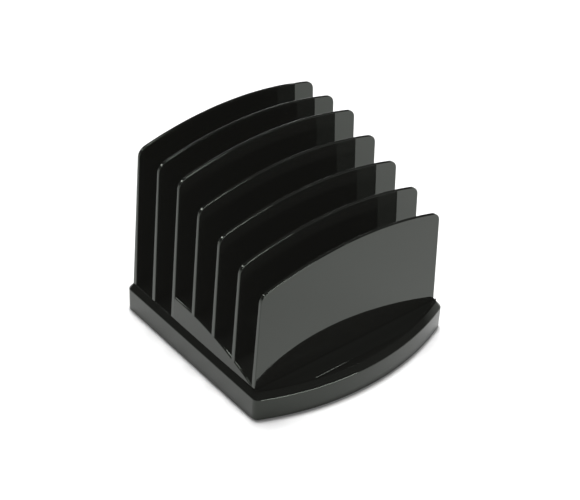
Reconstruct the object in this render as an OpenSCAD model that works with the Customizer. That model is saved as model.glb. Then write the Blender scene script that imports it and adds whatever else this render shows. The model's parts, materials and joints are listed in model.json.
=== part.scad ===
// Desktop file sorter: a low hollow base with a bowed front and a shallow tray, a curved
// riser, and seven upright dividers that step down towards the front.
// X runs along the dividers, -Y is the bowed front, +Z is up.
// The origin is on the resting surface, under the middle of the base.

/* [Base] */
// Width of the base across the dividers
base_w = 188.6; // [176:0.2:200]
// Depth of the base from the rear wall to the middle of the bowed front
base_d = 187.6; // [182:0.2:196]
// How far the front bows out past its corners
bow_rise = 21.2; // [16:0.2:26]
// Height of the upright outer wall's top edge
wall_top_z = 20.3; // [18:0.1:22]
// Height of the deck that the dividers stand on
deck_z = 25.5; // [24:0.1:28]
// Width of the sloping shoulder between the wall and the deck
shoulder_w = 4; // [3:0.1:5]
// Plan radius of the two front corners
front_corner_r = 6; // [5:0.5:8]
// Plan radius of the two rear corners
rear_corner_r = 5.5; // [4:0.5:12]
// Thickness of the base's wall and deck
shell_t = 2.6; // [2:0.1:3]
// Depth of the shallow tray in front of the dividers
tray_depth = 5; // [4.6:0.1:6]

/* [Dividers] */
// Spacing of the dividers, middle to middle
pitch = 25.4; // [24:0.1:26]
// Distance from the middle of the bowed front to the front divider
front_run = 29.3; // [28:0.1:31]
// Height of the three tall rear dividers above the deck
divider_h = 138.2; // [120:0.1:160]
// Drop from each divider to the next over the four front ones
step_down = 9.95; // [6:0.05:12]
// Thickness of a divider at its foot
foot_t = 4; // [3.4:0.1:4.4]
// Thickness of a divider at the top of a tall one
top_t = 2; // [1.6:0.1:2.6]
// Inward lean of each end of a divider, in degrees
end_lean = 2.5; // [0:0.1:3.5]
// Radius of the arched top edge
arch_r = 291; // [240:1:400]
// Radius of the two top corners of a divider
top_corner_r = 9; // [6:0.5:12]

/* [Riser] */
// Height of the riser's crest above the deck
riser_h = 20.6; // [16:0.1:24]
// Distance from the front divider back to the riser's crest
riser_run = 94; // [88:1:100]
// Height of the riser's front edge above the deck
riser_lip = 0.8; // [0.8:0.1:2]

/* [Feet and fasteners] */
// How far the rubber feet hold the base's lower edge off the surface
foot_gap = 0.8; // [0.5:0.1:1.5]
// Diameter of a rubber foot
foot_d = 14; // [10:1:18]
// Thickness of the cover under the base
cover_t = 2.5; // [2.2:0.1:3]
// Shank diameter of a screw
screw_d = 2.6; // [2.2:0.1:3]

/* [Hidden] */
$fn = 96;
DIVIDER_NODES = ["divider_1_rear", "divider_2", "divider_3", "divider_4", "divider_5", "divider_6",
    "divider_7_front"];
FOOT_NODES = ["foot_rear_left", "foot_rear_right", "foot_front_left", "foot_front_right"];

gloss_black = [0.08, 0.08, 0.075];
rubber_black = [0.15, 0.15, 0.15];
steel = [0.6, 0.6, 0.62];

divider_count = len(DIVIDER_NODES);
tall_count = 3;
eps = 0.01;
overrun = 5;
fit = 0.1;

// Plan of the base
rear_y = base_d / 2;
bow_r = (pow(base_w / 2, 2) + pow(bow_rise, 2)) / (2 * bow_rise);
bow_y = bow_r - base_d / 2;
front_y = front_run - base_d / 2;

// Heights inside the base
base_z = foot_gap;
deck_under_z = deck_z - shell_t;
tray_floor_z = deck_z - tray_depth;
low_cavity_z = tray_floor_z - shell_t;
cover_top_z = base_z + cover_t;

// Inset of the upper part of the cavity, which clears the sloping shoulder
upper_inset = shell_t + shoulder_w;

// Shallow tray: its floor falls from the front divider to a valley, then rises to a curved rim
tray_rim_w = 3;
tray_rim_step = 0.8;
tray_back_gap = 2;
tray_valley_gap = 13;
tray_outer_r = bow_r - shoulder_w - tray_rim_w;
tray_back_y = front_y - foot_t / 2 - tray_back_gap;
tray_valley_y = front_y - foot_t / 2 - tray_valley_gap;
tray_front_y = bow_y - tray_outer_r;
tray_front_slope = (tray_depth - tray_rim_step) / (tray_valley_y - tray_front_y);

// Dividers
divider_half_w = base_w / 2 - shoulder_w;
face_lean = atan((foot_t - top_t) / 2 / divider_h);

// Snap tabs under each divider, and the slots that take them
tab_w = 16;
tab_t = 2.4;
tab_barb = 0.9;
tab_reach = 6.5;
tab_root = 1;
tab_xs = [-60, 0, 60];

// Riser: its top is part of a long cylinder that lies along the base
riser_t = 2.4;
riser_back_y = divider_y(2) - foot_t / 2;
riser_front_y = divider_y(6) + foot_t / 2;
riser_crest_y = front_y + riser_run;
riser_r = (pow(riser_crest_y - riser_front_y, 2) + pow(riser_h - riser_lip, 2))
    / (2 * (riser_h - riser_lip));

// Fasteners and feet
bore_d = screw_d + fit;
clear_d = screw_d + 6 * fit;
head_d = 5.6;
head_h = 1.7;
cover_screw_len = 10;
riser_screw_len = 9;
boss_d = 7;
pilot_extra = 2;
cut_over = 1;
cover_screw_xy = [[-40, 75], [40, 75], [-85, 8], [85, 8], [-40, -56], [40, -56]];
riser_screw_x = 80;
riser_screw_gaps = [2.5, 3.5];
foot_inset = 17;
foot_sink = 1.2;

// Middle of divider i, counted from 0 at the rear
function divider_y(i) = front_y + (divider_count - 1 - i) * pitch;

// Height of divider i above the deck
function divider_top(i) = divider_h - max(0, i - tall_count + 1) * step_down;

// Height of the riser's top surface above the deck at a given y
function riser_top(y) = riser_h - riser_r + sqrt(pow(riser_r, 2) - pow(y - riser_crest_y, 2));

// Dividers 3 to 5 stand on the riser, the others on the deck
function on_riser(i) = i > tall_count - 1 && i < divider_count - 1;

// Height of the surface under the middle of divider i
function seat_z(i) = deck_z + (on_riser(i) ? riser_top(divider_y(i)) : 0);

// Plan outline of the base, moved inwards by an inset
module base_plan(inset) {
    half_w = base_w / 2 - inset;
    edge_r = bow_r - inset;
    back = rear_y - inset;
    fr = front_corner_r - min(inset, front_corner_r - 1);
    rr = rear_corner_r - min(inset, rear_corner_r - 1);
    corner_x = half_w - fr;
    corner_y = bow_y - sqrt(pow(edge_r - fr, 2) - pow(corner_x, 2));
    reach = (edge_r + overrun) / (edge_r - fr);
    tip = [corner_x * reach, bow_y + (corner_y - bow_y) * reach];
    intersection() {
        translate([0, bow_y])
            circle(r = edge_r, $fn = 360);
        polygon([
            [half_w, corner_y], [half_w, back - rr], [half_w - rr, back - rr], [half_w - rr, back],
            [rr - half_w, back], [rr - half_w, back - rr], [-half_w, back - rr], [-half_w, corner_y],
            [-corner_x, corner_y], [-tip[0], tip[1]], [0, -base_d], tip, [corner_x, corner_y]
        ]);
    }
    for (side = [-1, 1]) {
        translate([side * corner_x, corner_y])
            circle(r = fr);
        translate([side * (half_w - rr), back - rr])
            circle(r = rr);
    }
}

// Upright prism on the base's plan, between two heights
module plan_prism(inset, z0, z1) {
    translate([0, 0, z0])
        linear_extrude(z1 - z0)
            base_plan(inset);
}

// Solid outside shape of the base, with its sloping shoulder
module base_outside() {
    side = base_w / 2;
    intersection() {
        plan_prism(0, base_z, deck_z);
        translate([0, rear_y + overrun, 0])
            rotate([90, 0, 0])
                linear_extrude(base_d + 2 * overrun)
                    polygon([[-side, 0], [side, 0], [side, wall_top_z], [side - shoulder_w, deck_z],
                        [shoulder_w - side, deck_z], [-side, wall_top_z]]);
        rotate([90, 0, 90])
            translate([0, 0, -side - overrun])
                linear_extrude(base_w + 2 * overrun)
                    polygon([[-base_d, 0], [rear_y, 0], [rear_y, wall_top_z],
                        [rear_y - shoulder_w, deck_z], [-base_d, deck_z]]);
        translate([0, bow_y, 0])
            rotate_extrude($fn = 360)
                polygon([[0, 0], [bow_r, 0], [bow_r, wall_top_z], [bow_r - shoulder_w, deck_z],
                    [0, deck_z]]);
    }
}

// Hollow of the shallow tray in front of the front divider
module tray_hollow() {
    brim_z = deck_z + overrun;
    far_y = tray_valley_y - (brim_z - tray_floor_z) / tray_front_slope;
    intersection() {
        translate([0, bow_y, tray_floor_z - eps])
            cylinder(r = tray_outer_r, h = tray_depth + 2 * overrun, $fn = 360);
        rotate([90, 0, 90])
            translate([0, 0, -base_w / 2])
                linear_extrude(base_w)
                    polygon([[tray_back_y, deck_z], [tray_back_y, brim_z], [far_y, brim_z],
                        [tray_valley_y, tray_floor_z]]);
    }
}

// Three slots for the snap tabs of one divider
module tab_slots(y, z, depth) {
    for (x = tab_xs)
        translate([x - tab_w / 2 - fit, y - tab_t / 2 - fit, z - depth])
            cube([tab_w + 2 * fit, tab_t + 2 * fit, 2 * depth]);
}

// Places for the screws that hold the riser: one pair in each of two compartments
module at_riser_screws() {
    for (gap = riser_screw_gaps)
        for (side = [-1, 1])
            translate([side * riser_screw_x, divider_y(gap), 0])
                children();
}

// Places for the screws that hold the underside cover
module at_cover_screws() {
    for (xy = cover_screw_xy)
        translate([xy[0], xy[1], 0])
            children();
}

// Middle of each rubber foot
function foot_xy(i) = [
    (i % 2 == 0 ? -1 : 1) * (base_w / 2 - foot_inset),
    i < 2 ? rear_y - foot_inset : front_y + overrun
];

// Hollow base: outer wall, shoulder, deck, shallow tray, screw bosses and tab slots
module base_shell() {
    color(gloss_black) {
        difference() {
            base_outside();
            plan_prism(shell_t, 0, low_cavity_z);
            intersection() {
                plan_prism(upper_inset, 0, deck_under_z);
                translate([-base_w / 2, tray_back_y + shell_t, 0])
                    cube([base_w, base_d, deck_z]);
            }
            tray_hollow();
            for (i = [0 : divider_count - 1])
                if (!on_riser(i))
                    tab_slots(divider_y(i), deck_z, shell_t + cut_over);
            at_riser_screws()
                cylinder(d = clear_d, h = deck_z + cut_over, $fn = 32);
        }
        at_cover_screws()
            difference() {
                translate([0, 0, cover_top_z])
                    cylinder(d = boss_d, h = deck_under_z - cover_top_z + eps, $fn = 48);
                cylinder(d = bore_d, h = base_z + cover_screw_len + pilot_extra, $fn = 32);
            }
    }
}

// Space under the riser's curved top, shrunk by an inset, between its two ends
module riser_block(inset, y0, y1) {
    foot_half_w = divider_half_w - inset;
    head_half_w = foot_half_w - riser_h * tan(end_lean);
    intersection() {
        translate([0, y1, deck_z])
            rotate([90, 0, 0])
                linear_extrude(y1 - y0)
                    polygon([[-foot_half_w, 0], [foot_half_w, 0], [head_half_w, riser_h],
                        [-head_half_w, riser_h]]);
        riser_cylinder(inset);
    }
}

// Long cylinder whose upper side is the riser's curved top
module riser_cylinder(inset) {
    translate([-base_w / 2, riser_crest_y, deck_z + riser_h - riser_r])
        rotate([0, 90, 0])
            cylinder(r = riser_r - inset, h = base_w, $fn = 360);
}

// Curved riser under the front compartments: a shell, open below, with four screw bosses
module tier_riser() {
    color(gloss_black)
        difference() {
            union() {
                difference() {
                    riser_block(0, riser_front_y, riser_back_y);
                    translate([0, 0, -eps])
                        riser_block(riser_t, riser_front_y, riser_back_y - riser_t);
                }
                intersection() {
                    at_riser_screws()
                        translate([0, 0, deck_z])
                            cylinder(d = boss_d, h = riser_h, $fn = 48);
                    riser_block(riser_t / 2, riser_front_y, riser_back_y);
                }
            }
            for (i = [0 : divider_count - 1])
                if (on_riser(i))
                    tab_slots(divider_y(i), seat_z(i), riser_t + 2 * cut_over);
            at_riser_screws()
                translate([0, 0, deck_z - cut_over])
                    cylinder(d = bore_d, h = riser_screw_len, $fn = 32);
        }
}

// Face of a divider: leaning ends, an arched top edge and rounded top corners
module divider_face(top_h) {
    half_w = divider_half_w;
    arc_z = top_h - arch_r;
    lean = tan(end_lean);
    a = half_w - top_corner_r / cos(end_lean);
    reach = arch_r - top_corner_r;
    b = a * lean + arc_z;
    c = 1 + pow(lean, 2);
    corner_z = (b + sqrt(pow(b, 2) - c * (pow(a, 2) + pow(arc_z, 2) - pow(reach, 2)))) / c;
    corner_x = a - lean * corner_z;
    side_x = corner_x + top_corner_r * cos(end_lean);
    side_z = corner_z + top_corner_r * sin(end_lean);
    tip = [corner_x * (arch_r + overrun) / reach, arc_z + (corner_z - arc_z) * (arch_r + overrun) / reach];
    intersection() {
        translate([0, arc_z])
            circle(r = arch_r, $fn = 360);
        polygon([[-half_w, 0], [half_w, 0], [side_x, side_z], [corner_x, corner_z], tip,
            [0, top_h + overrun], [-tip[0], tip[1]], [-corner_x, corner_z], [-side_x, side_z]]);
    }
    for (side = [-1, 1])
        translate([side * corner_x, corner_z])
            circle(r = top_corner_r);
}

// Snap tab: a flat tongue with a barb that catches under the slot
module snap_tab(wall) {
    rotate([90, 0, 90])
        translate([0, 0, -tab_w / 2])
            linear_extrude(tab_w)
                polygon([[-tab_t / 2, tab_root], [tab_t / 2, tab_root], [tab_t / 2, -wall], [tab_t / 2 + tab_barb, -wall],
                    [tab_t / 2, -tab_reach], [-tab_t / 2, -tab_reach]]);
}

// Divider i: a tapering plate with three snap tabs
module divider(i) {
    top_h = divider_top(i);
    head_half_t = foot_t / 2 - top_h * tan(face_lean);
    wall = on_riser(i) ? riser_t + tab_root : shell_t + fit;
    color(gloss_black)
        translate([0, divider_y(i), 0]) {
            difference() {
                intersection() {
                    translate([0, foot_t, deck_z])
                        rotate([90, 0, 0])
                            linear_extrude(2 * foot_t)
                                divider_face(top_h);
                    rotate([90, 0, 90])
                        translate([0, 0, -base_w / 2])
                            linear_extrude(base_w)
                                polygon([[-foot_t / 2, deck_z], [foot_t / 2, deck_z],
                                    [head_half_t, deck_z + top_h], [-head_half_t, deck_z + top_h]]);
                }
                if (on_riser(i))
                    translate([0, -divider_y(i), 0])
                        riser_cylinder(0);
            }
            for (x = tab_xs)
                translate([x, 0, seat_z(i)])
                    snap_tab(wall);
        }
}

// Flat cover that closes the base, with seats for the feet and countersunk screw holes
module underside_cover() {
    color(gloss_black)
        difference() {
            plan_prism(shell_t + 2 * fit, base_z, cover_top_z);
            at_cover_screws() {
                cylinder(d = clear_d, h = cover_top_z + cut_over, $fn = 32);
                translate([0, 0, base_z - eps])
                    cylinder(d1 = head_d + 2 * fit, d2 = screw_d, h = head_h + fit, $fn = 48);
            }
            for (i = [0 : 3])
                translate([foot_xy(i)[0], foot_xy(i)[1], base_z - cut_over])
                    cylinder(d = foot_d + 2 * fit, h = foot_sink + cut_over, $fn = 64);
        }
}

// Rubber foot i, set into the cover
module rubber_foot(i) {
    color(rubber_black)
        translate([foot_xy(i)[0], foot_xy(i)[1], 0])
            cylinder(d = foot_d, h = base_z + foot_sink, $fn = 64);
}

// Countersunk screws that hold the cover
module cover_screws() {
    color(steel)
        at_cover_screws()
            translate([0, 0, base_z + fit]) {
                cylinder(d1 = head_d, d2 = screw_d, h = head_h, $fn = 48);
                cylinder(d = screw_d, h = cover_screw_len, $fn = 32);
            }
}

// Pan-head screws that pass up through the deck into the riser
module riser_screws() {
    color(steel)
        at_riser_screws()
            translate([0, 0, deck_under_z - head_h]) {
                cylinder(d = head_d, h = head_h, $fn = 48);
                cylinder(d = screw_d, h = riser_screw_len, $fn = 32);
            }
}

base_shell();
tier_riser();
for (i = [0 : divider_count - 1])
    divider(i);
underside_cover();
for (i = [0 : 3])
    rubber_foot(i);
riser_screws();
cover_screws();
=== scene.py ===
"""Looks of the desktop file sorter: glossy black moulded plastic on a pale studio floor.

The pieces are worked out in millimetres, in the CAD frame, and turned into metres when they are
finished. The camera and the studio are in metres.
"""

import json
import math

import bmesh
import bpy
from mathutils import Matrix, Vector


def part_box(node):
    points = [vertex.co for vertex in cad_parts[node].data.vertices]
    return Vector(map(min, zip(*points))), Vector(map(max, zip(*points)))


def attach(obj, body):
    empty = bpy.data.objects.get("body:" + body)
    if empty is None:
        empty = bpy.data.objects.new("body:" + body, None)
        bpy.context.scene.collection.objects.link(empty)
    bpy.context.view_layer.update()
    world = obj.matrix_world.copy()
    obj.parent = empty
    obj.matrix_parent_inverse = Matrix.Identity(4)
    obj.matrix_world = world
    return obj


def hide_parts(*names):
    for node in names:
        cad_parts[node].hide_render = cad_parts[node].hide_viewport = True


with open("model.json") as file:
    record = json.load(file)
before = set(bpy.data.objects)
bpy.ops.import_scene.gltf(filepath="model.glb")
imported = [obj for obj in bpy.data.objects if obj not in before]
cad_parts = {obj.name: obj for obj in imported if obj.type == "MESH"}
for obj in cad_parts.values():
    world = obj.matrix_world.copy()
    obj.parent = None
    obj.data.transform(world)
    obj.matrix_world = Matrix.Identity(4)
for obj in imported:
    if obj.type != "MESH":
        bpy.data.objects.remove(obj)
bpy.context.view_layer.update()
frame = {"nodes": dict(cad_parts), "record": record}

BODY = "root"
MM = 0.001


def node_box(node):
    """Lowest and highest corner of a CAD node, in millimetres."""
    low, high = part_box(node)
    return low / MM, high / MM


# ---------------------------------------------------------------- sizes, in millimetres

DIVIDERS = ["divider_1_rear", "divider_2", "divider_3", "divider_4", "divider_5", "divider_6",
            "divider_7_front"]
TALL_COUNT = 3

base_low, base_high = node_box("base_shell")
riser_low, riser_high = node_box("tier_riser")
divider_low, divider_high = node_box(DIVIDERS[0])

# How far the moulded skin lies inside the sharp-edged CAD surface
SKIN = 0.02

# Base: the bow, the corners in plan and the sloping shoulder
BASE_W = base_high.x - base_low.x
BASE_Z = base_low.z
DECK_Z = base_high.z
REAR_Y = base_high.y
FRONT_Y = base_low.y
BOW_RISE = 21.2
BOW_R = ((BASE_W / 2) ** 2 + BOW_RISE**2) / (2 * BOW_RISE)
BOW_Y = FRONT_Y + BOW_R
FRONT_CORNER_R = 6.0
REAR_CORNER_R = 5.5
LEAST_CORNER_R = 1.0
SHOULDER_W = 4.0
SHOULDER_DROP = 5.2

# Base: how far its three long edges are rounded
BOTTOM_EDGE_R = 0.5
WALL_TOP_R = 1.8
DECK_EDGE_R = 0.15

# Dividers: thickness, the lean of their ends, the arched top and its corners
FOOT_T = 4.0
TALL_TOP_T = 2.0
END_LEAN = math.radians(2.5)
END_INSET = 2.5 * SKIN
ARCH_R = 291.0
TOP_CORNER_R = 9.0
DIVIDER_HALF_W = divider_high.x
TALL_H = divider_high.z - DECK_Z
REAR_DIVIDER_Y = divider_low.y + FOOT_T / 2
FRONT_DIVIDER_Y = node_box(DIVIDERS[-1])[0].y + FOOT_T / 2
PITCH = (REAR_DIVIDER_Y - FRONT_DIVIDER_Y) / (len(DIVIDERS) - 1)

# Dividers: how far their edges are rounded, and nearly sharp where one closes the riser's back
END_EDGE_R = 0.6
TOP_EDGE_R = 0.45
JOINT_EDGE_R = 0.05

# Snap tabs under the dividers
TAB_XS = (-60.0, 0.0, 60.0)
TAB_W = 16.0
TAB_T = 2.4
TAB_BARB = 0.9
TAB_REACH = 6.5
TAB_ROOT = 0.3
DECK_GRIP = 2.7
RISER_GRIP = 3.4

# Riser: its top is part of a long cylinder along X
RISER_RUN = 94.0
RISER_CREST_Y = FRONT_DIVIDER_Y + RISER_RUN
RISER_H = riser_high.z - DECK_Z
RISER_LIP = 0.8
RISER_RISE = RISER_H - RISER_LIP
RISER_R = ((RISER_CREST_Y - riser_low.y) ** 2 + RISER_RISE**2) / (2 * RISER_RISE)
RISER_EDGE_R = 1.8

# Tray: floor planes that meet in a valley, and a steep curved wall at the front
TRAY_DEPTH = 5.0
TRAY_RIM_W = 3.0
TRAY_BACK_Y = FRONT_DIVIDER_Y - FOOT_T / 2 - 2.0
TRAY_VALLEY_Y = FRONT_DIVIDER_Y - FOOT_T / 2 - 13.0
TRAY_R = BOW_R - SHOULDER_W - TRAY_RIM_W
TRAY_RIM_STEP = 0.8
TRAY_WALL_SLOPE = math.tan(math.radians(78))
TRAY_SINK = 0.3
TRAY_BLEND = 0.6
TRAY_MARGIN = 0.6
TRAY_SPAN = 0.99

# How finely round stretches are divided
BOW_STEPS = 96
CORNER_STEPS = 12
EDGE_STEPS = 6
RISER_STATIONS = 72
TRAY_COLUMNS = 150
TRAY_ROWS = 90
END_STEPS = 24
TOP_CORNER_STEPS = 14
ARCH_STEPS = 60

# Points closer than this are welded: in a new mesh, and in one that comes from the CAD
NEW_WELD = 1e-4
CAD_WELD = 2e-3
LEAST_EDGE = 1e-3

# Edges that turn by more degrees than this are shaded sharp
SHARP_ANGLE = 30
BASE_SHARP_ANGLE = 20

# CAD nodes that are kept, and how far their edges are rounded
KEPT_NODES = {
    "foot_rear_left": 0.3,
    "foot_rear_right": 0.3,
    "foot_front_left": 0.3,
    "foot_front_right": 0.3,
    "riser_screws": 0.12,
    "cover_screws": 0.12,
    "underside_cover": 0.25,
}
ROUNDING_ANGLE = 35
ROUNDING_STEPS = 3


# ---------------------------------------------------------------- mesh helpers

def on_circle(centre, radius, degrees):
    angle = math.radians(degrees)
    return Vector((centre[0] + radius * math.cos(angle), centre[1] + radius * math.sin(angle)))


def arc(centre, radius, start, stop, steps, last=True):
    """Points on an arc, from a start angle to a stop angle, in degrees."""
    count = steps + 1 if last else steps
    return [on_circle(centre, radius, start + (stop - start) * k / steps) for k in range(count)]


def rounded_corner(before, corner, after, radius, steps):
    """Points of a fillet between two straight runs that meet at a corner."""
    to_before = (before - corner).normalized()
    to_after = (after - corner).normalized()
    half = to_before.angle(to_after) / 2
    centre = corner + (to_before + to_after).normalized() * (radius / math.sin(half))
    first = corner + to_before * (radius / math.tan(half)) - centre
    second = corner + to_after * (radius / math.tan(half)) - centre
    sweep = first.angle_signed(second)
    return [centre + Matrix.Rotation(-sweep * k / steps, 2) @ first for k in range(steps + 1)]


def add_points(vertices, points):
    """Adds points to a list of vertices, and returns their indices."""
    first = len(vertices)
    vertices.extend(points)
    return list(range(first, len(vertices)))


def grid_faces(rings, closed=True):
    """Quads between rings of vertices that all have the same length."""
    faces = []
    for lower, upper in zip(rings, rings[1:]):
        count = len(lower)
        for k in range(count if closed else count - 1):
            nxt = (k + 1) % count
            faces.append((lower[k], lower[nxt], upper[nxt], upper[k]))
    return faces


def linked_object(name, shape):
    """An object with a mesh made from a bmesh, which is used up."""
    mesh = bpy.data.meshes.new(name)
    shape.to_mesh(mesh)
    shape.free()
    piece = bpy.data.objects.new(name, mesh)
    bpy.context.scene.collection.objects.link(piece)
    return piece


def mesh_object(name, vertices, faces):
    """A mesh object in millimetres, welded, with its faces turned outwards."""
    shape = bmesh.new()
    corners = [shape.verts.new(v) for v in vertices]
    for face in faces:
        if len(set(face)) > 2:
            shape.faces.new([corners[k] for k in dict.fromkeys(face)])
    bmesh.ops.remove_doubles(shape, verts=shape.verts, dist=NEW_WELD)
    bmesh.ops.recalc_face_normals(shape, faces=shape.faces)
    return linked_object(name, shape)


def cad_copy(name, node):
    """A welded copy of a CAD node's mesh, in millimetres."""
    shape = bmesh.new()
    shape.from_mesh(frame["nodes"][node].data)
    bmesh.ops.scale(shape, vec=(1 / MM, 1 / MM, 1 / MM), verts=shape.verts)
    bmesh.ops.remove_doubles(shape, verts=shape.verts, dist=CAD_WELD)
    return linked_object(name, shape)


def combine(piece, tool, operation):
    """Boolean of two closed meshes; the tool is used up."""
    step = piece.modifiers.new("combine", "BOOLEAN")
    step.operation = operation
    step.solver = "EXACT"
    step.object = tool
    evaluated = piece.evaluated_get(bpy.context.evaluated_depsgraph_get())
    shape = bmesh.new()
    shape.from_mesh(evaluated.to_mesh())
    evaluated.to_mesh_clear()
    bmesh.ops.remove_doubles(shape, verts=shape.verts, dist=CAD_WELD)
    bmesh.ops.dissolve_degenerate(shape, edges=shape.edges, dist=LEAST_EDGE)
    piece.modifiers.clear()
    shape.to_mesh(piece.data)
    shape.free()
    bpy.data.objects.remove(tool)
    return piece


def weight_normals(piece):
    weighted = piece.modifiers.new("weighted_normals", "WEIGHTED_NORMAL")
    weighted.keep_sharp = True


def finish_piece(piece, material, node, sharp_angle=SHARP_ANGLE):
    """Turns a piece into metres, shades it, gives it its material, attaches it to the body and
    hides its CAD node.
    """
    shape = bmesh.new()
    shape.from_mesh(piece.data)
    bmesh.ops.scale(shape, vec=(MM, MM, MM), verts=shape.verts)
    for face in shape.faces:
        face.smooth = True
    for edge in shape.edges:
        edge.smooth = edge.calc_face_angle(0.0) < math.radians(sharp_angle)
    shape.to_mesh(piece.data)
    shape.free()
    weight_normals(piece)
    piece.data.materials.clear()
    piece.data.materials.append(material)
    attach(piece, BODY)
    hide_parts(node)


# ---------------------------------------------------------------- materials

# Stands in for the glare that lifts the photo's blacks; it isn't a property of the plastic
VEIL = 0.0050
VEIL_COLOUR = (1.0, 1.0, 0.9, 1.0)
PLASTIC_IOR = 1.5
# Painted light colour: the studio light's greenish cast is put into the plastic's reflections,
# while the lamps and floor stay white
PAINTED_LIGHT_TINT = (0.90, 1.0, 0.88, 1.0)


def new_material(name):
    material = bpy.data.materials.new(name)
    material.use_nodes = True
    tree = material.node_tree
    return material, tree, tree.nodes["Principled BSDF"]


def object_noise(tree, scale, detail=3.0):
    """Noise in the object's own coordinates, so it has the same scale on every piece."""
    coordinates = tree.nodes.new("ShaderNodeTexCoord")
    noise = tree.nodes.new("ShaderNodeTexNoise")
    noise.inputs["Scale"].default_value = scale
    noise.inputs["Detail"].default_value = detail
    tree.links.new(coordinates.outputs["Object"], noise.inputs["Vector"])
    return noise.outputs["Fac"]


def spread(tree, value, low, high):
    """Maps a value from 0..1 to low..high."""
    remap = tree.nodes.new("ShaderNodeMapRange")
    remap.inputs["To Min"].default_value = low
    remap.inputs["To Max"].default_value = high
    tree.links.new(value, remap.inputs["Value"])
    return remap.outputs["Result"]


def bump(tree, height, depth, strength, before=None):
    """Normal of a surface with a height on it, on top of an earlier bump if there is one."""
    node = tree.nodes.new("ShaderNodeBump")
    node.inputs["Strength"].default_value = strength
    node.inputs["Distance"].default_value = depth
    tree.links.new(height, node.inputs["Height"])
    if before:
        tree.links.new(before, node.inputs["Normal"])
    return node.outputs["Normal"]


def blend_colours(tree, factor, first, second):
    """Colour between two others."""
    ramp = tree.nodes.new("ShaderNodeValToRGB")
    ramp.color_ramp.elements[0].color = (*first, 1.0)
    ramp.color_ramp.elements[1].color = (*second, 1.0)
    tree.links.new(factor, ramp.inputs["Fac"])
    return ramp.outputs["Color"]


def link_surface(tree, shader, colour, roughness, normal):
    tree.links.new(colour, shader.inputs["Base Color"])
    tree.links.new(roughness, shader.inputs["Roughness"])
    tree.links.new(normal, shader.inputs["Normal"])


def gloss_plastic(name, reflectance):
    """Polished black plastic: slow ripple from the mould, fine orange peel and faint haze."""
    material, tree, shader = new_material(name)
    colour = blend_colours(tree, object_noise(tree, scale=9.0),
                           (0.0026, 0.0027, 0.0024), (0.0036, 0.0037, 0.0033))
    haze = spread(tree, object_noise(tree, scale=22.0, detail=6.0), low=0.015, high=0.05)
    ripple = bump(tree, object_noise(tree, scale=14.0, detail=1.0), depth=0.0004, strength=0.012)
    peel = bump(tree, object_noise(tree, scale=700.0, detail=2.0), depth=0.00004, strength=0.02,
                before=ripple)
    link_surface(tree, shader, colour, haze, peel)
    shader.inputs["Emission Color"].default_value = VEIL_COLOUR
    shader.inputs["Emission Strength"].default_value = VEIL
    shader.inputs["IOR"].default_value = PLASTIC_IOR
    shader.inputs["Specular IOR Level"].default_value = reflectance
    # Painted light colour: tints the reflections with the studio light's greenish cast
    shader.inputs["Specular Tint"].default_value = PAINTED_LIGHT_TINT
    return material


def matte_plastic(name):
    """Fine spark-eroded texture, as on hidden undersides."""
    material, tree, shader = new_material(name)
    colour = blend_colours(tree, object_noise(tree, scale=30.0),
                           (0.014, 0.014, 0.014), (0.024, 0.024, 0.023))
    roughness = spread(tree, object_noise(tree, scale=60.0, detail=4.0), low=0.42, high=0.58)
    grain = bump(tree, object_noise(tree, scale=1500.0, detail=2.0), depth=0.0002, strength=0.35)
    link_surface(tree, shader, colour, roughness, grain)
    return material


def rubber(name):
    """Dull, slightly speckled black."""
    material, tree, shader = new_material(name)
    colour = blend_colours(tree, object_noise(tree, scale=120.0),
                           (0.022, 0.022, 0.022), (0.040, 0.039, 0.037))
    roughness = spread(tree, object_noise(tree, scale=200.0, detail=4.0), low=0.70, high=0.88)
    grain = bump(tree, object_noise(tree, scale=2500.0, detail=2.0), depth=0.0001, strength=0.4)
    link_surface(tree, shader, colour, roughness, grain)
    return material


def screw_steel(name):
    """Zinc plate: slightly blotchy grey with a fine grain."""
    material, tree, shader = new_material(name)
    colour = blend_colours(tree, object_noise(tree, scale=500.0, detail=4.0),
                           (0.46, 0.47, 0.49), (0.62, 0.62, 0.63))
    roughness = spread(tree, object_noise(tree, scale=900.0), low=0.22, high=0.40)
    grain = bump(tree, object_noise(tree, scale=4000.0, detail=2.0), depth=0.00005, strength=0.3)
    link_surface(tree, shader, colour, roughness, grain)
    shader.inputs["Metallic"].default_value = 1.0
    return material


MATERIALS = {
    "black_gloss": gloss_plastic("gloss_black_plastic", reflectance=0.48),
    "black_matte": matte_plastic("matte_black_plastic"),
    "foot_rubber": rubber("foot_rubber"),
    "screw_steel": screw_steel("zinc_steel"),
}

# The base and riser look slightly less reflective than the dividers in the photo
BASE_PLASTIC = gloss_plastic("gloss_black_base_plastic", reflectance=0.38)

for subpart in frame["record"]["subparts"]:
    node_mesh = frame["nodes"][subpart["node"]].data
    node_mesh.materials.clear()
    node_mesh.materials.append(MATERIALS[subpart["material_slot"]])


# ---------------------------------------------------------------- base shell

def base_plan(inset):
    """Outline of the base from above, moved inwards. Each has the same number of points."""
    half_w = BASE_W / 2 - inset
    edge_r = BOW_R - inset
    back = REAR_Y - inset
    front_r = max(FRONT_CORNER_R - inset, LEAST_CORNER_R)
    rear_r = max(REAR_CORNER_R - inset, LEAST_CORNER_R)
    corner_x = half_w - front_r
    corner_y = BOW_Y - math.sqrt((edge_r - front_r) ** 2 - corner_x**2)
    turn = math.degrees(math.atan2(corner_x, BOW_Y - corner_y))
    return (
        arc((0, BOW_Y), edge_r, -90 - turn, -90 + turn, BOW_STEPS, last=False)
        + arc((corner_x, corner_y), front_r, -90 + turn, 0, CORNER_STEPS)
        + arc((half_w - rear_r, back - rear_r), rear_r, 0, 90, CORNER_STEPS)
        + arc((rear_r - half_w, back - rear_r), rear_r, 90, 180, CORNER_STEPS)
        + arc((-corner_x, corner_y), front_r, 180, 270 - turn, CORNER_STEPS, last=False)
    )


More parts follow.
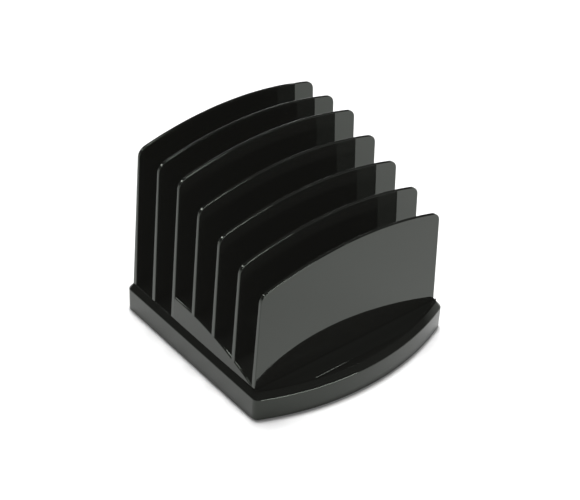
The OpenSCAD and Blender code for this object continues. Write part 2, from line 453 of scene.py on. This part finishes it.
def base_profile():
    """Section through the base's edge, as (inset, height), from the bottom up to the deck."""
    low = Vector((SKIN, BASE_Z + SKIN))
    wall_top = Vector((SKIN, DECK_Z - SHOULDER_DROP))
    shoulder_top = Vector((SKIN + SHOULDER_W, DECK_Z - SKIN))
    inner_low = low + Vector((2 * SHOULDER_W, 0))
    inner_top = shoulder_top + Vector((2 * SHOULDER_W, 0))
    return (
        rounded_corner(inner_low, low, wall_top, BOTTOM_EDGE_R, EDGE_STEPS)
        + rounded_corner(low, wall_top, shoulder_top, WALL_TOP_R, EDGE_STEPS)
        + rounded_corner(wall_top, shoulder_top, inner_top, DECK_EDGE_R, EDGE_STEPS)
    )


def smooth_max(a, b, width):
    """The larger of two heights, with the crease between them rounded."""
    overlap = max(width - abs(a - b), 0.0) / width
    return max(a, b) + overlap * overlap * width / 4


def tray_height(x, y):
    """Height of the tray's surface, with soft creases."""
    back_slope = TRAY_DEPTH / (TRAY_BACK_Y - TRAY_VALLEY_Y)
    front_slope = (TRAY_DEPTH - TRAY_RIM_STEP) / (TRAY_VALLEY_Y - (BOW_Y - TRAY_R))
    deck = DECK_Z - SKIN
    from_valley = y - TRAY_VALLEY_Y
    floor = smooth_max(from_valley * back_slope, -from_valley * front_slope, TRAY_BLEND)
    floor += deck - TRAY_DEPTH - TRAY_SINK
    wall_foot_r = TRAY_R + SKIN
    wall = deck - TRAY_DEPTH + (math.hypot(x, y - BOW_Y) - wall_foot_r) * TRAY_WALL_SLOPE
    return min(deck, smooth_max(floor, wall, TRAY_BLEND))


def tray_outline():
    """Columns of (x, y) points across the tray, from its back edge to its front edge.

    The points of a column are closest together at the tray's two edges.
    """
    back_y = TRAY_BACK_Y + 2 * TRAY_MARGIN
    floor_run = (TRAY_DEPTH + TRAY_SINK) * (TRAY_BACK_Y - TRAY_VALLEY_Y) / TRAY_DEPTH
    edge_y = TRAY_VALLEY_Y + floor_run
    rim_r = TRAY_R + TRAY_DEPTH / TRAY_WALL_SLOPE + TRAY_MARGIN
    half_w = math.sqrt(rim_r**2 - (BOW_Y - back_y) ** 2)
    columns = []
    for k in range(TRAY_COLUMNS + 1):
        x = TRAY_SPAN * half_w * (2 * k / TRAY_COLUMNS - 1)
        front_y = min(BOW_Y - math.sqrt(rim_r**2 - x**2), back_y)
        start_y = max(edge_y, front_y)
        rows = [back_y]
        for row in range(TRAY_ROWS + 1):
            share = (1 - math.cos(math.pi * row / TRAY_ROWS)) / 2
            rows.append(start_y + (front_y - start_y) * share)
        columns.append([Vector((x, y)) for y in rows])
    return columns


def make_base_shell():
    """The base: rounded outer skin and tray, cut from the CAD solid that holds its inside."""
    vertices = []
    rings = [add_points(vertices, [Vector((p.x, p.y, z)) for p in base_plan(inset)])
             for inset, z in base_profile()]
    faces = grid_faces(rings) + [tuple(reversed(rings[0]))]

    columns = [add_points(vertices, [Vector((p.x, p.y, tray_height(p.x, p.y))) for p in column])
               for column in tray_outline()]
    faces += grid_faces(columns, closed=False)

    # The flat deck around the tray is split in two, so that neither half has a hole
    rim = rings[-1]
    back_edge = [column[0] for column in columns]
    front_edge = [column[-1] for column in columns]
    bow_middle = BOW_STEPS // 2
    rear_corner = BOW_STEPS + 2 * CORNER_STEPS + 1
    tray_middle = TRAY_COLUMNS // 2
    right_hole = back_edge[tray_middle:] + front_edge[:tray_middle - 1:-1]
    left_hole = front_edge[tray_middle::-1] + back_edge[:tray_middle + 1]
    faces.append(tuple(rim[bow_middle:rear_corner + 1] + right_hole))
    faces.append(tuple(rim[rear_corner:] + rim[:bow_middle + 1] + left_hole))

    skin = mesh_object("base_skin", vertices, faces)
    shell = combine(cad_copy("base_shell_moulding", "base_shell"), skin, "INTERSECT")
    finish_piece(shell, BASE_PLASTIC, "base_shell", BASE_SHARP_ANGLE)


# ---------------------------------------------------------------- riser

def riser_top(y):
    """Height of the riser's top at a given y."""
    return DECK_Z + RISER_H - RISER_R + math.sqrt(RISER_R**2 - (y - RISER_CREST_Y) ** 2)


def riser_skin():
    """The riser's outer form. Its end edges are rounded, less and less towards the low front.

    Its leaning ends go on 1 mm below the deck, so that a cut with it leaves nothing beside them.
    """
    vertices = []
    rings = []
    for k in range(RISER_STATIONS + 1):
        y = riser_low.y + SKIN + (riser_high.y - riser_low.y - 2 * SKIN) * k / RISER_STATIONS
        height = riser_top(y) - SKIN - DECK_Z
        foot = Vector((DIVIDER_HALF_W - SKIN, 0))
        head = Vector((foot.x - height * math.tan(END_LEAN), height))
        edge_r = min(RISER_EDGE_R, RISER_EDGE_R / 2 + height / 20, height * 0.6)
        corner = rounded_corner(foot, head, Vector((0, height)), edge_r, 2 * EDGE_STEPS)
        right = [foot + (foot - head) / height] + corner
        section = right + [Vector((-p.x, p.y)) for p in reversed(right)]
        rings.append(add_points(vertices, [Vector((p.x, y, DECK_Z + p.y)) for p in section]))
    faces = grid_faces(rings) + [tuple(rings[0]), tuple(reversed(rings[-1]))]
    return mesh_object("riser_skin", vertices, faces)


def make_riser():
    """The riser: rounded outer skin, cut from the CAD solid that holds its inside."""
    riser = combine(cad_copy("tier_riser_moulding", "tier_riser"), riser_skin(), "INTERSECT")
    finish_piece(riser, BASE_PLASTIC, "tier_riser")


# ---------------------------------------------------------------- dividers

def half_thickness(height):
    """Half the thickness of a divider at a height above the deck."""
    return FOOT_T / 2 - (FOOT_T - TALL_TOP_T) / 2 * height / TALL_H


def divider_outline(top_h):
    """Points around a divider's face: up one end, over the arch and down the other end.

    Each comes with its outward direction, in degrees, and how far it has turned from the end's
    edge radius to the top's, from 0 to 1. A top corner's centre is where a line beside the
    leaning end meets a circle below the arch.
    """
    half_w = DIVIDER_HALF_W - END_INSET
    arc_z = top_h - ARCH_R
    lean = math.tan(END_LEAN)
    a = half_w - TOP_CORNER_R / math.cos(END_LEAN)
    reach = ARCH_R - TOP_CORNER_R
    b = a * lean + arc_z
    c = 1 + lean**2
    corner_z = (b + math.sqrt(b * b - c * (a * a + arc_z**2 - reach**2))) / c
    corner_x = a - lean * corner_z
    corner_top = math.degrees(math.atan2(corner_z - arc_z, corner_x))
    side = math.degrees(END_LEAN)
    side_point = on_circle((corner_x, corner_z), TOP_CORNER_R, side)
    foot_point = Vector((half_w, 0))

    points = [(foot_point.lerp(side_point, k / END_STEPS), side, 0.0) for k in range(END_STEPS)]
    for k in range(TOP_CORNER_STEPS):
        share = k / TOP_CORNER_STEPS
        angle = side + (corner_top - side) * share
        points.append((on_circle((corner_x, corner_z), TOP_CORNER_R, angle), angle, share))
    for k in range(ARCH_STEPS + 1):
        angle = corner_top + (90 - corner_top) * k / ARCH_STEPS
        points.append((on_circle((0, arc_z), ARCH_R, angle), angle, 1.0))
    left = [(Vector((-p.x, p.y)), 180 - angle, share) for p, angle, share in points[:-1]]
    return points + left[::-1]


def divider_section(point, outward, front_r, rear_r):
    """Points round a divider's edge, from its front face to its rear, each with its depth in y."""
    section = []
    for side, radius in ((-1, front_r), (1, rear_r)):
        quarter = []
        for k in range(EDGE_STEPS + 1):
            turn = math.pi / 2 * k / EDGE_STEPS
            inwards = radius * (1 - math.sin(turn))
            spot = point - outward * inwards
            depth = half_thickness(max(spot.y, 0)) - radius * (1 - math.cos(turn))
            quarter.append((spot, side * depth))
        section += quarter if side < 0 else quarter[::-1]
    return section


def make_tabs(y, seat, grip):
    """The snap tabs under a divider. Each barb starts at the grip's depth below the seat."""
    half = TAB_T / 2
    section = [(-half, TAB_ROOT), (half, TAB_ROOT), (half, -grip), (half + TAB_BARB, -grip),
               (half, -TAB_REACH), (-half, -TAB_REACH)]
    vertices = []
    faces = []
    for middle in TAB_XS:
        rings = [add_points(vertices, [Vector((x, y + dy, seat + dz)) for dy, dz in section])
                 for x in (middle - TAB_W / 2, middle + TAB_W / 2)]
        faces += grid_faces(rings) + [tuple(rings[0]), tuple(reversed(rings[1]))]
    return mesh_object("tabs", vertices, faces)


def make_divider(index, node):
    """A tapering plate with rounded edges, cut to the riser if it stands on it, and its tabs."""
    y = REAR_DIVIDER_Y - index * PITCH
    top_h = node_box(node)[1].z - DECK_Z
    on_riser = TALL_COUNT - 1 < index < len(DIVIDERS) - 1
    closes_riser = index == TALL_COUNT - 1

    vertices = []
    rings = []
    for point, angle, share in divider_outline(top_h):
        edge_r = END_EDGE_R + (TOP_EDGE_R - END_EDGE_R) * share
        joined = closes_riser and point.y < RISER_H - RISER_EDGE_R
        front_r = JOINT_EDGE_R if joined else edge_r
        section = divider_section(point, on_circle((0, 0), 1, angle), front_r, edge_r)
        ring = [Vector((spot.x, y + depth, DECK_Z + spot.y)) for spot, depth in section]
        rings.append(add_points(vertices, ring))
    faces = grid_faces(rings, closed=False)
    faces += [tuple(ring[0] for ring in rings), tuple(ring[-1] for ring in reversed(rings))]
    faces.append(tuple(rings[0] + rings[-1][::-1]))

    plate = mesh_object(node + "_plate", vertices, faces)
    if on_riser:
        combine(plate, riser_skin(), "DIFFERENCE")
        tabs = make_tabs(y, riser_top(y), RISER_GRIP)
    else:
        tabs = make_tabs(y, DECK_Z, DECK_GRIP)
    combine(plate, tabs, "UNION")
    finish_piece(plate, MATERIALS["black_gloss"], node)


# ---------------------------------------------------------------- all the pieces

def soften(node, width):
    """Rounds the sharp edges of a CAD node where it is."""
    piece = frame["nodes"][node]
    weld = piece.modifiers.new("weld", "WELD")
    weld.merge_threshold = CAD_WELD * MM
    rounding = piece.modifiers.new("rounding", "BEVEL")
    rounding.width = width * MM
    rounding.segments = ROUNDING_STEPS
    rounding.angle_limit = math.radians(ROUNDING_ANGLE)
    weight_normals(piece)


make_base_shell()
make_riser()
for kept_node, edge_width in KEPT_NODES.items():
    soften(kept_node, edge_width)
for divider_index, divider_node in enumerate(DIVIDERS):
    make_divider(divider_index, divider_node)


# ---------------------------------------------------------------- studio, in metres

CAMERA_AZIMUTH = -40.78
CAMERA_ELEVATION = 37.66
CAMERA_ROLL = 3.04
CAMERA_DISTANCE = 1.3135
CAMERA_TARGET = Vector((-0.0011, 0.0051, 0.0708))
SENSOR_MM = 36.0
LENS_MM = 105.2

FLOOR_HALF = 6.0
FLOOR_WHITE = 0.88
FLOOR_ROUGHNESS = 0.9

OVERHEAD_DIRECTION = (0.10, 0.16, 1.0)
OVERHEAD_HALF_ANGLE = 9
OVERHEAD_STRENGTH = 2.7

# Each panel's name, place, height it is aimed at, width, height and radiance
SOFTBOXES = [
    ("front_strip", (0.15, -1.9, 0.24), 0.08, 1.4, 0.25, 25.0),
    ("rear_card", (0.85, 1.93, 0.74), 0.1, 1.3, 0.69, 5.0),
    ("rear_right_card", (1.45, 1.61, 0.48), 0.1, 0.46, 0.46, 5.0),
    ("top_lamp", (0.10, 0.16, 2.45), 0.1, 0.5, 0.5, 24.0),
    ("tray_lamp", (1.168, -0.008, 2.10), 0.0, 0.19, 0.125, 14.0),
    ("rear_left_lamp", (-0.95, 1.2, 1.2), 0.1, 0.35, 0.35, 9.0),
]

# The surroundings are pale at the horizon and fade to a dark upper room between these heights
ROOM_STRENGTH = 0.09
HORIZON_STRENGTH = 1.0
FADE_START = 0.06
FADE_END = 0.16


def make_floor():
    mesh = bpy.data.meshes.new("floor")
    corners = [(-FLOOR_HALF, -FLOOR_HALF, 0), (FLOOR_HALF, -FLOOR_HALF, 0),
               (FLOOR_HALF, FLOOR_HALF, 0), (-FLOOR_HALF, FLOOR_HALF, 0)]
    mesh.from_pydata(corners, [], [(0, 1, 2, 3)])
    floor = bpy.data.objects.new("floor", mesh)
    bpy.context.scene.collection.objects.link(floor)
    material, _, shader = new_material("white_floor")
    shader.inputs["Base Color"].default_value = (FLOOR_WHITE, FLOOR_WHITE, FLOOR_WHITE, 1.0)
    shader.inputs["Roughness"].default_value = FLOOR_ROUGHNESS
    shader.inputs["Specular IOR Level"].default_value = 0.0
    mesh.materials.append(material)


def aim(lamp, location, target):
    """Places a lamp, turns it to a target and adds it to the scene."""
    lamp.location = location
    lamp.rotation_euler = (Vector(target) - Vector(location)).to_track_quat("-Z", "Y").to_euler()
    bpy.context.scene.collection.objects.link(lamp)


def make_overhead():
    """A wide soft source far above, which lights the floor evenly and gives no highlights."""
    light = bpy.data.lights.new("overhead", "SUN")
    light.angle = 2 * math.radians(OVERHEAD_HALF_ANGLE)
    light.energy = OVERHEAD_STRENGTH
    source = bpy.data.objects.new("overhead", light)
    source.visible_glossy = False
    aim(source, OVERHEAD_DIRECTION, (0, 0, 0))


def make_softbox(name, location, target, width, height, radiance):
    """A flat panel of even brightness, not seen directly by the camera."""
    light = bpy.data.lights.new(name, "AREA")
    light.shape = "RECTANGLE"
    light.size = width
    light.size_y = height
    light.energy = radiance * math.pi * width * height
    panel = bpy.data.objects.new(name, light)
    panel.visible_camera = False
    aim(panel, location, target)


def make_world():
    world = bpy.data.worlds.new("studio")
    world.use_nodes = True
    tree = world.node_tree
    background = tree.nodes["Background"]
    direction = tree.nodes.new("ShaderNodeTexCoord")
    split = tree.nodes.new("ShaderNodeSeparateXYZ")
    tree.links.new(direction.outputs["Generated"], split.inputs["Vector"])
    band = tree.nodes.new("ShaderNodeMapRange")
    band.inputs["From Min"].default_value = FADE_START
    band.inputs["From Max"].default_value = FADE_END
    band.inputs["To Min"].default_value = HORIZON_STRENGTH
    band.inputs["To Max"].default_value = ROOM_STRENGTH
    tree.links.new(split.outputs["Z"], band.inputs["Value"])
    tree.links.new(band.outputs["Result"], background.inputs["Strength"])
    background.inputs["Color"].default_value = (1.0, 1.0, 1.0, 1.0)
    bpy.context.scene.world = world


def make_camera():
    """The photo's camera, placed from its angles around the target."""
    azimuth = math.radians(CAMERA_AZIMUTH)
    elevation = math.radians(CAMERA_ELEVATION)
    back = Vector((
        math.sin(azimuth) * math.cos(elevation),
        -math.cos(azimuth) * math.cos(elevation),
        math.sin(elevation),
    ))
    camera_data = bpy.data.cameras.new("camera")
    camera_data.sensor_width = SENSOR_MM
    camera_data.lens = LENS_MM
    camera = bpy.data.objects.new("camera", camera_data)
    level = back.to_track_quat("Z", "Y").to_matrix().to_4x4()
    roll = Matrix.Rotation(math.radians(CAMERA_ROLL), 4, "Z")
    place = Matrix.Translation(CAMERA_TARGET + back * CAMERA_DISTANCE)
    camera.matrix_world = place @ level @ roll
    bpy.context.scene.collection.objects.link(camera)
    bpy.context.scene.camera = camera


make_floor()
make_overhead()
for box_name, box_place, aim_z, box_w, box_h, box_radiance in SOFTBOXES:
    make_softbox(box_name, box_place, (0, 0, aim_z), box_w, box_h, box_radiance)
make_world()
make_camera()
bpy.context.scene.view_settings.view_transform = "Standard"
